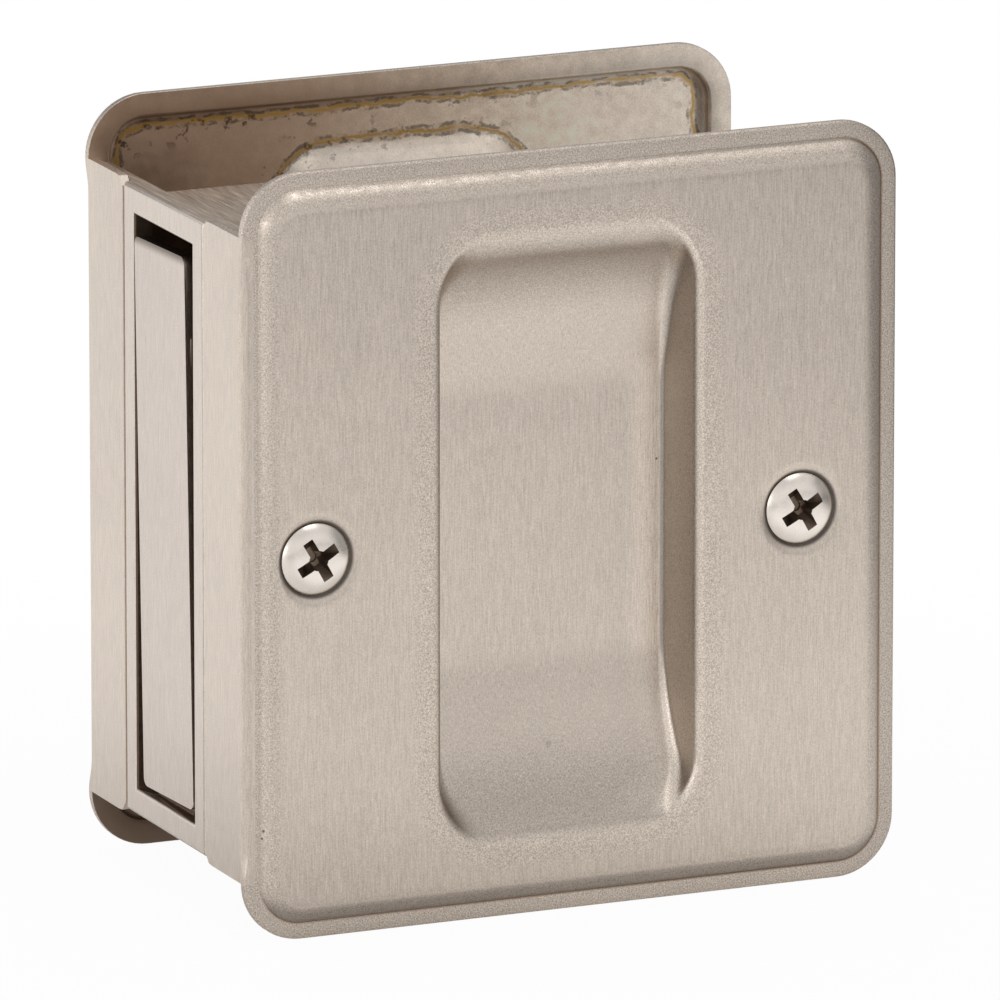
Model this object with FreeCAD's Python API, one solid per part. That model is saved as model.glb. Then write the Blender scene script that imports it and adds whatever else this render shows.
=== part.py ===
import FreeCAD, Part
import math
import os
from FreeCAD import Vector

# Pocket door pull. +Z is up, the front plate faces -Y and the door's edge is at -X.
# The origin is under the middle of the part, on the surface that it stands on. Sizes in millimetres.

# Door and plates
door_thickness = 34.925
plate_width = 63.5
plate_height = 69.85
plate_corner = 5.5
sheet = 0.8
rim_width = 1.5
field_rise = 1.2
field_round = 1.7

# Finger cup in each plate
cup_edge_margin = 19.0
cup_far_margin = 20.35
cup_end_margin = 7.625
cup_corner = 5.6
cup_depth = 5.5
cup_end_depth = 2.1
cup_floor_length = 26.4
cup_ramp_blend = 14.0
cup_sweep_round = 6.0
cup_sweep_end = 40.0
cup_lip_round = 1.2
cup_floor_bevel = 0.6

# Flange on each plate's edge side
flange_bend = 1.1
flange_corner = 1.2

# Face screws, and the dimples that they sit in
screw_edge_inset = 6.6
screw_far_inset = 9.8
screw_shank = 3.45
screw_end_room = 8.9
screw_head = 6.5
screw_crown = 0.75
screw_flat = 4.6
screw_angle = 82.0
screw_turn = -30.0
screw_seat_gap = 0.03
recess_edge = 0.2
recess_foot = 1.8
recess_slot = 0.95
recess_depth = 1.5
dimple_gap = 0.3
shank_gap = 0.25

# Threaded posts on the back plate
post_wall = 0.975
post_bore_gap = 0.05
post_end_gap = 0.3
post_bore_rest = 2.0

# Edge case
case_wall = 1.05
case_seat_gap = 0.05
case_side_gap = 0.3
case_end_gap = 0.375
strip_border = 2.45
strip_gap = 0.15
strip_round = 0.4
opening_width = 13.5
box_shoulder = 1.7
post_hole_gap = 0.3

# Edge pull, its pin and its stops
pull_side_gap = 0.975
pull_end_gap = 1.4
pull_lift = -0.4
pull_lean_gap = 0.18
pull_sheet = 1.05
pull_corner = 0.8
pull_swing = 80.0
pivot_depth = 4.4
pivot_drop = 11.5
ear_inset = 0.475
ear_height = 5.0
ear_side_gap = 0.25
rib_gap = 0.24
pin_size = 2.4
pin_case_gap = 0.02
pin_pull_gap = 0.06
pin_stand_out = 0.3
stop_gap = 0.1
stop_overlap = 1.5
ledge_width = 8.0
ledge_depth = 1.6
ledge_overlap = 2.4

# The plates' planes and the cup's place
middle = plate_height / 2
edge_x = -plate_width / 2
rim_in = -door_thickness / 2
rim_out = rim_in - sheet
field_out = rim_out - field_rise
field_in = field_out + sheet
cup_width = plate_width - cup_edge_margin - cup_far_margin
cup_height = plate_height - 2 * cup_end_margin
cup_x = (cup_edge_margin - cup_far_margin) / 2

# The screws and posts
screw_places = (edge_x + screw_edge_inset, -edge_x - screw_far_inset)
screw_slope = math.tan(math.radians(screw_angle / 2))
screw_hole = screw_shank / 2 + shank_gap
dimple_mouth = screw_head / 2 + dimple_gap
dimple_end = field_out + (dimple_mouth - screw_hole) / screw_slope
head_y = field_out + (dimple_gap - screw_seat_gap) / screw_slope
screw_tip_y = -field_in - screw_end_room
post_radius = screw_shank / 2 + post_bore_gap + post_wall

# The case, its opening and the flanges beside its strip
shoulder_x = edge_x + sheet + case_seat_gap
wall_back_x = shoulder_x + case_wall
case_low = plate_corner + case_end_gap
case_high = plate_height - case_low
opening_low = case_low + strip_border
opening_high = case_high - strip_border
half_opening = opening_width / 2
half_strip = half_opening + strip_border
half_inside = half_opening + box_shoulder
half_box = half_inside + case_wall
flange_tip = -half_strip - strip_gap

# The pull hangs as crooked as the play at its sides allows, and its top end swings in about the pin
pull_width = opening_width - 2 * pull_side_gap
pull_height = opening_high - opening_low - 2 * pull_end_gap
pull_lean = math.asin((pull_side_gap - pull_lean_gap) / (pull_height / 2))
pivot_x = edge_x + pivot_depth
pivot_z = opening_high - pivot_drop
ear_face = pull_width / 2 - ear_inset
pull_top = middle + pull_lift + (pull_height * math.cos(pull_lean) + pull_width * math.sin(pull_lean)) / 2
pull_back = pivot_depth - pull_sheet
swing = math.radians(pull_swing)
stop_x = pivot_x + (pull_top - pivot_z) * math.sin(swing) - pull_back * math.cos(swing) + stop_gap
stop_low = pivot_z + (pull_top - pivot_z) * math.cos(swing) + pull_back * math.sin(swing) - stop_overlap
box_back = stop_x + case_wall


def block(low, high):
    """A box from its lowest to its highest corner."""
    return Part.makeBox(high[0] - low[0], high[1] - low[1], high[2] - low[2], Vector(*low))


def rod(radius, start, end):
    """A round bar from one point to another."""
    along = Vector(*end) - Vector(*start)
    return Part.makeCylinder(radius, along.Length, Vector(*start), along)


def cone(start_radius, end_radius, x, start_y, end_y):
    """A cone along Y at the screws' height."""
    start = Vector(x, start_y, middle)
    return Part.makeCone(start_radius, end_radius, end_y - start_y, start, Vector(0, 1, 0))


def rounded_slab(width, height, corner, y_low, y_high, centre_x=0.0):
    """A rounded rectangle about the plate's middle, extruded along Y."""
    x_low = centre_x - width / 2
    slab = block((x_low, y_low, middle - height / 2), (x_low + width, y_high, middle + height / 2))
    along_y = [edge for edge in slab.Edges if edge.BoundBox.YLength > (y_high - y_low) / 2]
    return slab.makeFillet(corner, along_y)


def edges_at_y(shape, y):
    """The edges of a shape that lie wholly on the plane at this Y."""
    near = 1e-4
    return [e for e in shape.Edges if abs(e.BoundBox.YMin - y) < near and abs(e.BoundBox.YMax - y) < near]


def ramp_slope():
    """The ramp's slope, for which the sweep after it ends at the cup's end depth."""
    run = (cup_height - cup_floor_length) / 2
    end = math.radians(cup_sweep_end)
    low, high = 0.0, end
    for _ in range(50):
        slope = (low + high) / 2
        ramp_run = run - cup_sweep_round * (math.sin(end) - math.sin(slope))
        rise = ramp_run * math.tan(slope) + cup_sweep_round * (math.cos(slope) - math.cos(end))
        if rise > cup_depth - cup_end_depth:
            high = slope
        else:
            low = slope
    return slope


def round_point(sign, up, y, radius, angle):
    """A point on one of the cup's rounds, seen from the side, at an angle from the floor's direction."""
    return Vector(0, y + radius * math.cos(angle), middle + sign * (up + radius * math.sin(angle)))


def cup_side_view(grow):
    """The cup from the side: a level floor, and at each end a ramp that sweeps up to the end wall."""
    slope = ramp_slope()
    half_height = cup_height / 2 + grow

    # Both rounds have their middles in front of the floor, so the cup's outside has the larger ones
    blend = cup_ramp_blend + grow
    blend_up = cup_floor_length / 2 - cup_ramp_blend * math.tan(slope / 2)
    blend_y = field_out + cup_depth - cup_ramp_blend
    sweep = cup_sweep_round + grow
    sweep_up = cup_height / 2 - cup_sweep_round * math.sin(math.radians(cup_sweep_end))
    sweep_y = field_out + cup_end_depth - cup_sweep_round * math.cos(math.radians(cup_sweep_end))
    sweep_end = math.asin((half_height - sweep_up) / sweep)

    edges = []
    field_ends = []
    floor_ends = []
    for sign in (-1, 1):
        blended = [round_point(sign, blend_up, blend_y, blend, slope * share) for share in (0, 0.5, 1)]
        swept_angles = (slope, (slope + sweep_end) / 2, sweep_end)
        swept = [round_point(sign, sweep_up, sweep_y, sweep, angle) for angle in swept_angles]
        floor_ends.append(blended[0])
        field_ends.append(Vector(0, field_out, middle + sign * half_height))
        edges.append(Part.Arc(*blended).toShape())
        edges.append(Part.LineSegment(blended[-1], swept[0]).toShape())
        edges.append(Part.Arc(*swept).toShape())
        edges.append(Part.LineSegment(swept[-1], field_ends[-1]).toShape())
    edges.append(Part.LineSegment(*floor_ends).toShape())
    edges.append(Part.LineSegment(*field_ends).toShape())
    return Part.Face(Part.Wire(Part.sortEdges(edges)[0]))


def cup_block(grow):
    """The solid that fills the cup, grown by the sheet's thickness for the cup's outside."""
    width = cup_width + 2 * grow
    height = cup_height + 2 * grow
    deep = field_out + cup_depth + grow
    outline = rounded_slab(width, height, cup_corner + grow, field_out, deep, cup_x)
    side_view = cup_side_view(grow)
    side_view.translate(Vector(cup_x - width, 0, 0))
    return outline.common(side_view.extrude(Vector(2 * width, 0, 0)))


def cup_cavity():
    """The cup's inside, with a bevel where its walls meet its floor."""
    cavity = cup_block(0)

    def faces_in(face):
        return face.normalAt(*face.Surface.parameter(face.CenterOfMass)).y > math.cos(math.radians(45))

    floor = [face for face in cavity.Faces if faces_in(face)]
    rim = []
    for edge in (edge for face in floor for edge in face.Edges):
        if sum(any(edge.isSame(other) for other in face.Edges) for face in floor) == 1:
            rim.append(edge)
    return cavity.makeChamfer(cup_floor_bevel, rim)


def make_flange():
    """The folded edge along the straight part of the plate's side: rim, bend and flange."""
    bend_centre = Vector(edge_x + flange_bend, rim_out + flange_bend, plate_corner)
    diagonal = Vector(-1, -1, 0).normalize()
    rim_front = Vector(edge_x + flange_bend, rim_out, plate_corner)
    rim_back = Vector(edge_x + flange_bend, rim_in, plate_corner)
    bend_out = Vector(edge_x, bend_centre.y, plate_corner)
    bend_in = Vector(edge_x + sheet, bend_centre.y, plate_corner)
    tip_out = Vector(edge_x, flange_tip, plate_corner)
    tip_in = Vector(edge_x + sheet, flange_tip, plate_corner)
    section = Part.Face(Part.Wire([
        Part.Arc(rim_front, bend_centre + diagonal * flange_bend, bend_out).toShape(),
        Part.LineSegment(bend_out, tip_out).toShape(),
        Part.LineSegment(tip_out, tip_in).toShape(),
        Part.LineSegment(tip_in, bend_in).toShape(),
        Part.Arc(bend_in, bend_centre + diagonal * (flange_bend - sheet), rim_back).toShape(),
        Part.LineSegment(rim_back, rim_front).toShape(),
    ]))
    flange = section.extrude(Vector(0, 0, plate_height - 2 * plate_corner))
    free_corners = [edge for edge in edges_at_y(flange, flange_tip) if edge.BoundBox.XLength > sheet / 2]
    return flange.makeFillet(flange_corner, free_corners)


def make_plate(screw_holes):
    """One plate, of one sheet: rim, raised field, finger cup, flange and, if wanted, dimpled screw holes."""
    base = rounded_slab(plate_width, plate_height, plate_corner, rim_out, rim_in)
    bend_low = (edge_x - sheet, rim_out - sheet, plate_corner)
    bend_high = (edge_x + flange_bend, rim_in + sheet, plate_height - plate_corner)
    base = base.cut(block(bend_low, bend_high)).fuse(make_flange())

    # The field's edge is a round that the rim's face cuts off, rim_width from the plate's side
    foot = math.sqrt(field_round ** 2 - (field_round - field_rise) ** 2)
    inset = rim_width - (field_round - foot)
    width = plate_width - 2 * inset
    height = plate_height - 2 * inset
    corner = plate_corner - inset
    raised = rounded_slab(width, height, corner, field_out, field_out + 2 * field_round)
    raised = raised.makeFillet(field_round, edges_at_y(raised, field_out))
    raised = raised.common(block((edge_x, field_out, 0), (-edge_x, rim_in, plate_height)))
    hollow = rounded_slab(width - 2 * sheet, height - 2 * sheet, corner - sheet, field_in, rim_in)
    plate = base.fuse(raised).cut(hollow)

    inner_side = block((edge_x, field_in - sheet / 2, 0), (-edge_x, 0, plate_height))
    plate = plate.fuse(cup_block(sheet).common(inner_side))
    plate = plate.cut(cup_cavity()).removeSplitter()
    around_cup = cup_width / 2 + plate_corner
    lip = [e for e in edges_at_y(plate, field_out) if abs(e.CenterOfMass.x - cup_x) < around_cup]
    lip = [e for e in lip if abs(e.CenterOfMass.z - middle) <= cup_height / 2 + 1e-4]
    plate = plate.makeFillet(cup_lip_round, lip)

    if screw_holes:
        wall = sheet / math.cos(math.radians(screw_angle / 2))
        for x in screw_places:
            start_y = field_out + sheet / 2
            start = dimple_mouth + wall - (start_y - field_out) * screw_slope
            end = dimple_mouth + wall - (dimple_end - field_out) * screw_slope
            plate = plate.fuse(cone(start, end, x, start_y, dimple_end))
        for x in screw_places:
            plate = plate.cut(cone(dimple_mouth, screw_hole, x, field_out, dimple_end))
    return plate.removeSplitter()


def make_screw(x):
    """An oval head screw with a cross recess."""
    shank = screw_shank / 2
    head = screw_head / 2
    neck_y = head_y + (head - shank) / screw_slope
    top_y = head_y - screw_crown
    recess_span = screw_flat - 2 * recess_edge

    def at(radius, y):
        return Vector(x + radius, y, middle)

    outline = [at(0, top_y), at(screw_flat / 2, top_y), at(head, head_y), at(shank, neck_y)]
    outline += [at(shank, screw_tip_y), at(0, screw_tip_y), at(0, top_y)]
    body = Part.Face(Part.makePolygon(outline)).revolve(Vector(x, 0, middle), Vector(0, 1, 0), 360)

    foot_y = top_y + recess_depth
    for quarter in (0, 90):
        corners = [Vector(x - recess_span / 2, top_y, 0), Vector(x + recess_span / 2, top_y, 0)]
        corners += [Vector(x + recess_foot / 2, foot_y, 0), Vector(x - recess_foot / 2, foot_y, 0)]
        slot = Part.Face(Part.makePolygon(corners + corners[:1])).extrude(Vector(0, 0, recess_slot))
        slot.translate(Vector(0, 0, middle - recess_slot / 2))
        slot.rotate(Vector(x, 0, middle), Vector(0, 1, 0), screw_turn + quarter)
        body = body.cut(slot)
    return body


def make_post(x):
    """A post on the back plate's inside, bored for the screw."""
    bore = screw_shank / 2 + post_bore_gap
    front_y = dimple_end + post_end_gap
    bore_end = screw_tip_y + post_bore_rest
    post = rod(post_radius, (x, front_y, middle), (x, -field_in, middle))
    return post.cut(rod(bore, (x, front_y, middle), (x, bore_end, middle)))


def make_case():
    """The case: a front wall with a flush strip, an opening, and a box that carries the pull's pin."""
    half_wall = door_thickness / 2 - case_side_gap
    strip = block((edge_x, -half_strip, case_low), (wall_back_x, half_strip, case_high))
    face_edges = [edge for edge in strip.Edges if edge.BoundBox.XMax < edge_x + case_seat_gap]
    strip = strip.makeFillet(strip_round, face_edges)
    case = strip.fuse(block((shoulder_x, -half_wall, case_low), (wall_back_x, half_wall, case_high)))
    box_low = (shoulder_x, -half_box, opening_low - case_wall)
    case = case.fuse(block(box_low, (box_back, half_box, opening_high + case_wall)))
    case = case.cut(block((wall_back_x, -half_inside, opening_low), (box_back, half_inside, opening_high)))
    case = case.cut(block((edge_x, -half_opening, opening_low), (wall_back_x, half_opening, opening_high)))

    # The lip that stops the pull's top end, the ledge that it rests on, and a rib each side for its pin
    case = case.fuse(block((stop_x, -half_inside, stop_low), (box_back, half_inside, opening_high)))
    ledge_x = edge_x + pull_sheet + stop_gap
    ledge_top = opening_low + pull_end_gap + pull_lift + ledge_overlap
    ledge_low = (ledge_x, -ledge_width / 2, opening_low)
    case = case.fuse(block(ledge_low, (ledge_x + ledge_depth, ledge_width / 2, ledge_top)))
    half_rib = (pull_back - rib_gap) / math.sqrt(2)
    for side in (-1, 1):
        near, far = sorted((side * (ear_face + ear_side_gap), side * half_inside))
        rib_low = (pivot_x - half_rib, near, pivot_z - half_rib)
        case = case.fuse(block(rib_low, (stop_x, far, pivot_z + half_rib)))

    pin_hole = pin_size / 2 + pin_case_gap
    post_hole = post_radius + post_hole_gap
    post_x = screw_places[0]
    case = case.cut(rod(pin_hole, (pivot_x, -half_box, pivot_z), (pivot_x, half_box, pivot_z)))
    case = case.cut(rod(post_hole, (post_x, -half_box, middle), (post_x, half_box, middle)))
    return case.removeSplitter()


def make_pull():
    """The edge pull: a flat plate that leans a little in its opening, with two ears for the pin."""
    half_width = pull_width / 2
    half_height = pull_height / 2
    plate = block((edge_x, -half_width, -half_height), (edge_x + pull_sheet, half_width, half_height))
    corners = [edge for edge in plate.Edges if edge.BoundBox.XLength > pull_sheet / 2]
    plate = plate.makeFillet(pull_corner, corners)
    plate.rotate(Vector(0, 0, 0), Vector(1, 0, 0), -math.degrees(pull_lean))
    plate.translate(Vector(0, 0, middle + pull_lift))
    pull = plate
    ear_x = edge_x + pull_sheet / 2
    for side in (-1, 1):
        near, far = sorted((side * ear_face, side * (ear_face - pull_sheet)))
        ear = block((ear_x, near, pivot_z - ear_height / 2), (pivot_x, far, pivot_z + ear_height / 2))
        pull = pull.fuse(ear).fuse(rod(ear_height / 2, (pivot_x, near, pivot_z), (pivot_x, far, pivot_z)))
    pin_hole = pin_size / 2 + pin_pull_gap
    pull = pull.cut(rod(pin_hole, (pivot_x, -half_width, pivot_z), (pivot_x, half_width, pivot_z)))
    return pull.removeSplitter()


def make_pin():
    """The pin that the edge pull swings on."""
    end = half_box + pin_stand_out
    return rod(pin_size / 2, (pivot_x, -end, pivot_z), (pivot_x, end, pivot_z))


def make_parts():
    """Every piece by its name."""
    back_plate = make_plate(screw_holes=False)
    back_plate.rotate(Vector(0, 0, middle), Vector(1, 0, 0), 180)
    return {
        "front_plate": make_plate(screw_holes=True),
        "back_plate": back_plate,
        "edge_case": make_case(),
        "edge_pull": make_pull(),
        "pull_pin": make_pin(),
        "face_screws": Part.makeCompound([make_screw(x) for x in screw_places]),
        "threaded_posts": Part.makeCompound([make_post(x) for x in screw_places]),
    }


os.makedirs("parts", exist_ok=True)
for name, shape in make_parts().items():
    shape.exportStep("parts/" + name + ".step")
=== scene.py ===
import math

import bmesh
import bpy
import numpy as np
from mathutils import Matrix, Vector


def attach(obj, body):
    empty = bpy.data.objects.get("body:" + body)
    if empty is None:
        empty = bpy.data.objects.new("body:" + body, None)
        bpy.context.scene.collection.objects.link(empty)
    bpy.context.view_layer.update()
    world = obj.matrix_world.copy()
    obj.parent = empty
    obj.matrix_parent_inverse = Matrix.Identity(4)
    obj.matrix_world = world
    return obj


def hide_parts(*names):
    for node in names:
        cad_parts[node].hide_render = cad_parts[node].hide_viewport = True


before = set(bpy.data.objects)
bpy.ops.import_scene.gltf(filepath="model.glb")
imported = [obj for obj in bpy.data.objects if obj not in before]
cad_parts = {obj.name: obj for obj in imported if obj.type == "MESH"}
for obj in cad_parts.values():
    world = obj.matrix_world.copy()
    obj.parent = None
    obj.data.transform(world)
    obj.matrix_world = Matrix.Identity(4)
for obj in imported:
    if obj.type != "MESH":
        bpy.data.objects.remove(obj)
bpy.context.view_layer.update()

MM = 0.001

# Sizes of the stamped plates, in millimetres, as in the part's solids
HALF_DOOR = 34.925 / 2
SHEET = 0.8
HALF_WIDTH = 63.5 / 2
HALF_HEIGHT = 69.85 / 2
MIDDLE = HALF_HEIGHT
EDGE_X = -HALF_WIDTH
CORNER = 5.5
RIM_WIDTH = 1.5
RIM_IN = -HALF_DOOR
RIM_OUT = RIM_IN - SHEET
FIELD_RISE = 1.2
FIELD_ROUND = 1.7
FIELD_OUT = RIM_OUT - FIELD_RISE
FIELD_IN = FIELD_OUT + SHEET
FLANGE_BEND = 1.1
FLANGE_CORNER = 1.2

# The finger cup, whose outline takes in the round of its lip
CUP_LIP = 1.2
CUP_EDGE_MARGIN, CUP_FAR_MARGIN, CUP_END_MARGIN = 19.0, 20.35, 7.625
CUP_X = (CUP_EDGE_MARGIN - CUP_FAR_MARGIN) / 2
CUP_HALF_WIDTH = HALF_WIDTH - (CUP_EDGE_MARGIN + CUP_FAR_MARGIN) / 2 + CUP_LIP
CUP_HALF_HEIGHT = HALF_HEIGHT - CUP_END_MARGIN + CUP_LIP
CUP_CORNER = 5.6 + CUP_LIP
CUP_DEPTH = 5.5
CUP_HALF_FLOOR = 13.2
CUP_FLOOR_IN = CUP_HALF_HEIGHT - CUP_HALF_FLOOR
CUP_RAMP = math.tan(math.radians(10.5))

# The face screws and the dimples that they sit in
SCREW_EDGE_INSET, SCREW_FAR_INSET = 6.6, 9.8
SCREW_X = (SCREW_EDGE_INSET - HALF_WIDTH, HALF_WIDTH - SCREW_FAR_INSET)
SCREW_SLOPE = math.tan(math.radians(41))
SCREW_END_ROOM = 8.9
DIMPLE_GAP, SEAT_GAP, SHANK_GAP = 0.3, 0.03, 0.25
HEAD_RADIUS = 3.25
HEAD_CROWN = 0.75
HEAD_EDGE = 0.06
HEAD_Y = FIELD_OUT + (DIMPLE_GAP - SEAT_GAP) / SCREW_SLOPE
SHANK_RADIUS = 1.725
SHANK_TIP_Y = -FIELD_IN - SCREW_END_ROOM
TIP_BEVEL = 0.5
DIMPLE_MOUTH = HEAD_RADIUS + DIMPLE_GAP
DIMPLE_HOLE = SHANK_RADIUS + SHANK_GAP

# The cross recess: half length and half width of its wings, radius of its socket
RECESS_TURN = math.radians(-30)
WING_TOP, WING_FOOT = (2.35, 0.54), (0.9, 0.36)
WING_DEPTH = 1.7
SOCKET_TOP, SOCKET_FOOT = 1.0, 0.45
SOCKET_DEPTH = 1.9

# Finer rounds than the solids have
CUP_BLEND = 1.5
WALL_SLOPE = math.radians(81)
TOP_SLOPE, LOW_SLOPE = math.radians(42), math.radians(35)
SIDE_LIP, TOP_LIP, LOW_LIP = 1.0, 4.8, 3.0
SIDE_FOOT, TOP_FOOT, LOW_FOOT = 0.6, 2.8, 2.0
STEP_ROUND = 2.9
EDGE_ROLL = 0.22
EDGE_BURR = 0.05
POCKET_MOUTH = 0.3
BEND_FADE = 3.0
DIMPLE_ROLL = 1.8
SOFT_EDGE, CASE_EDGE = 0.12, 0.25

# The case's strip beside the flanges, its opening, the box behind it and the pull
HALF_OPENING = 6.75
STRIP_BORDER = 2.45
STRIP_GAP = 0.15
CASE_END_GAP = 0.375
BOX_SHOULDER = 1.7
FLANGE_TIP = -HALF_OPENING - STRIP_BORDER - STRIP_GAP
OPENING_LOW = CORNER + CASE_END_GAP + STRIP_BORDER
OPENING_HIGH = 2 * HALF_HEIGHT - OPENING_LOW
HALF_INSIDE = HALF_OPENING + BOX_SHOULDER
BOX_BACK = -17.06
PULL_LEAN = math.radians(1.81)
PULL_TOP = 59.71

# Material numbers of a plate's, a screw's and the case's faces
OUTSIDE, INSIDE = 0, 1
PLATED, RECESS = 0, 1
CASE, CASE_TOP, CASE_INSIDE = 0, 1, 2


# Mesh building

def steps(count, first=0):
    """Even fractions up to 1."""
    return [i / count for i in range(first, count + 1)]


def between(a, b, share):
    """The value that lies a share of the way from one to another."""
    return a + (b - a) * share


def new_object(name, vertices, faces, face_materials=None, materials=()):
    """A mesh object in metres from points in millimetres."""
    mesh = bpy.data.meshes.new(name)
    mesh.from_pydata([tuple(c * MM for c in v) for v in vertices], [], faces)
    for material in materials:
        mesh.materials.append(material)
    if face_materials is not None:
        mesh.polygons.foreach_set("material_index", face_materials)
    mesh.validate()
    made = bpy.data.objects.new(name, mesh)
    bpy.context.scene.collection.objects.link(made)
    return made


def remove(piece):
    """Takes a piece and its mesh out of the file."""
    mesh = piece.data
    bpy.data.objects.remove(piece)
    bpy.data.meshes.remove(mesh)


def loop_points(half_width, half_height, corner, centre_x):
    """A rounded rectangle about the plate's middle, as points with outward directions.

    The points are equal in number for any size.
    """
    corner_steps, side_steps, end_steps = 14, 60, 30
    points = []
    x0, z0 = half_width - corner, half_height - corner
    centres = ((x0, z0), (-x0, z0), (-x0, -z0), (x0, -z0))
    for k, (cx, cz) in enumerate(centres):
        for t in steps(corner_steps):
            angle = math.pi / 2 * (k + t)
            way = (math.cos(angle), math.sin(angle))
            points.append((cx + corner * way[0], cz + corner * way[1], *way))
        nx, nz = centres[(k + 1) % 4]
        for t in steps(end_steps if k % 2 == 0 else side_steps, 1)[:-1]:
            x, z = between(cx, nx, t), between(cz, nz, t)
            points.append((x + corner * way[0], z + corner * way[1], *way))
    return [(x + centre_x, z + MIDDLE, wx, wz) for x, z, wx, wz in points]


def plate_loop(inset):
    """The plate's outline, drawn in by an inset."""
    loop = loop_points(HALF_WIDTH - inset, HALF_HEIGHT - inset, CORNER - inset, 0.0)
    return [(x, z) for x, z, _, _ in loop]


def end_depth(inward, lip, slope):
    """The cup's depth at a distance in from its end: lip, scoop, ramp and level floor."""
    ramp = math.atan(CUP_RAMP)
    lip_in, lip_down = lip * math.sin(slope), lip * (1 - math.cos(slope))
    if inward <= lip_in:
        return lip - math.sqrt(lip ** 2 - inward ** 2)

    # The scoop's radius is the one that brings it onto the ramp
    scoop_in, scoop_down = math.sin(slope) - math.sin(ramp), math.cos(ramp) - math.cos(slope)
    scoop = (lip_in + (CUP_DEPTH - lip_down) / CUP_RAMP - CUP_FLOOR_IN) / (scoop_down / CUP_RAMP - scoop_in)
    if inward <= lip_in + scoop * scoop_in:
        sine = math.sin(slope) - (inward - lip_in) / scoop
        return lip_down + scoop * (math.sqrt(1 - sine ** 2) - math.cos(slope))
    left = CUP_FLOOR_IN - inward
    if abs(left) < CUP_BLEND:
        return CUP_DEPTH - CUP_RAMP * (left + CUP_BLEND) ** 2 / (4 * CUP_BLEND)
    return CUP_DEPTH - CUP_RAMP * max(left, 0.0)


def side_depth(inward, deep, foot):
    """The depth at a distance in from a side's lip: lip, wall and a foot round onto a floor so deep."""
    rounds = SIDE_LIP + foot
    slope = min(math.acos(max(1 - deep / rounds, -1.0)), WALL_SLOPE)
    wall = max(deep - rounds * (1 - math.cos(slope)), 0.0) / math.tan(slope)
    lip_in = SIDE_LIP * math.sin(slope)
    foot_in = lip_in + wall + foot * math.sin(slope)
    if inward <= lip_in:
        return SIDE_LIP - math.sqrt(SIDE_LIP ** 2 - inward ** 2)
    if inward <= lip_in + wall:
        return SIDE_LIP * (1 - math.cos(slope)) + (inward - lip_in) * math.tan(slope)
    if inward < foot_in:
        return deep - foot + math.sqrt(foot ** 2 - (foot_in - inward) ** 2)
    return deep


def cup_depth(x, z):
    """How deep the cup is under a point of the field."""
    from_end = CUP_HALF_HEIGHT - abs(z - MIDDLE)
    if z > MIDDLE:
        lip, slope, corner_foot = TOP_LIP, TOP_SLOPE, TOP_FOOT
    else:
        lip, slope, corner_foot = LOW_LIP, LOW_SLOPE, LOW_FOOT
    deep = end_depth(max(from_end, 0.0), lip, slope)
    past_x = abs(x - CUP_X) - CUP_HALF_WIDTH + CUP_CORNER
    past_z = CUP_CORNER - from_end
    inward = CUP_CORNER - math.hypot(max(past_x, 0.0), max(past_z, 0.0)) - min(max(past_x, past_z), 0.0)
    tiny = 1e-6
    if min(inward, deep) < tiny:
        return 0.0
    foot = between(corner_foot, SIDE_FOOT, min(from_end / CUP_FLOOR_IN, 1.0))
    return side_depth(inward, deep, foot)


def cup_point(x, z, thickness):
    """A point of the cup's surface, or of its back at the sheet's thickness behind it."""
    small = 0.01
    across = (cup_depth(x + small, z) - cup_depth(x - small, z)) / (2 * small)
    along = (cup_depth(x, z + small) - cup_depth(x, z - small)) / (2 * small)
    share = thickness / math.sqrt(1 + across ** 2 + along ** 2)
    return x - across * share, FIELD_OUT + cup_depth(x, z) + share, z - along * share


def cup_loops():
    """Plan loops from the lip's outline in to the floor's middle, close together on the walls."""
    wall_foot, narrowest, roundest = 2.4, 0.3, 0.9
    end_rate = 1.7
    insets = [SIDE_LIP * math.sin(WALL_SLOPE * t) for t in steps(9)]
    insets += [between(insets[-1], wall_foot, t) for t in steps(14, 1)]
    insets += [between(wall_foot, CUP_CORNER, t) for t in steps(14, 1)]
    insets += [between(CUP_CORNER, CUP_HALF_WIDTH - narrowest, t) for t in steps(20, 1)]
    loops = []
    for inset in insets:
        half_width = CUP_HALF_WIDTH - inset
        half_height = CUP_HALF_HEIGHT - inset - end_rate * max(inset - CUP_CORNER, 0.0)
        corner = min(max(CUP_CORNER - inset, narrowest), roundest * half_width)
        loop = loop_points(half_width, half_height, corner, CUP_X)
        loops.append([(x, z) for x, z, _, _ in loop])
    return loops


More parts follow.
